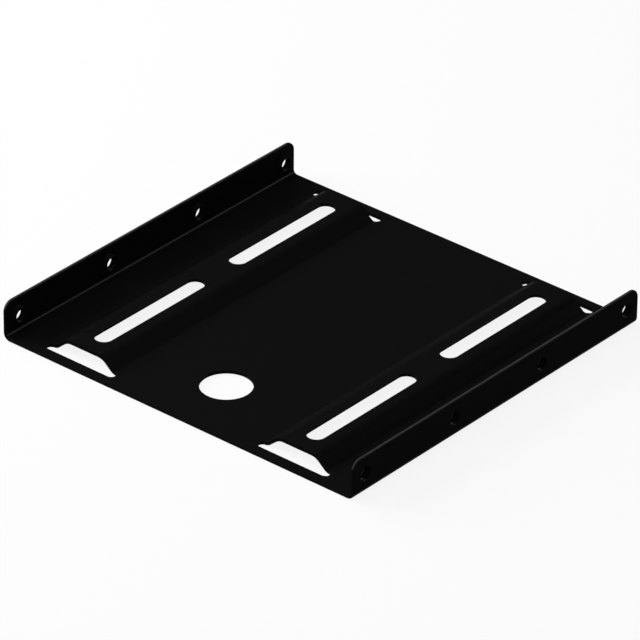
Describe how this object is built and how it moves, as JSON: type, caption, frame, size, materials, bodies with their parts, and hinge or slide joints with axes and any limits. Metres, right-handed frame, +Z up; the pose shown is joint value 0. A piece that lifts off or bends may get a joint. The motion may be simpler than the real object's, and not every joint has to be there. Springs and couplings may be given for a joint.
{
  "type": "hard drive bracket",
  "caption": "Shallow folded sheet-steel tray that carries a 2.5-inch drive in a 3.5-inch bay, with raised slotted ribs, tapped side flanges and a round finger hole.",
  "frame": {"origin": "middle of the underside of the plate", "axes": "+X across to the right flange, +Y from the front edge with the finger hole to the back, +Z up"},
  "size_m": [0.1016, 0.098, 0.0095],
  "materials": {
    "black_powder_coat": "satin black powder coat on folded steel sheet"
  },
  "bodies": {
    "root": {"drive_bracket": "black_powder_coat"}
  },
  "joints": []
}
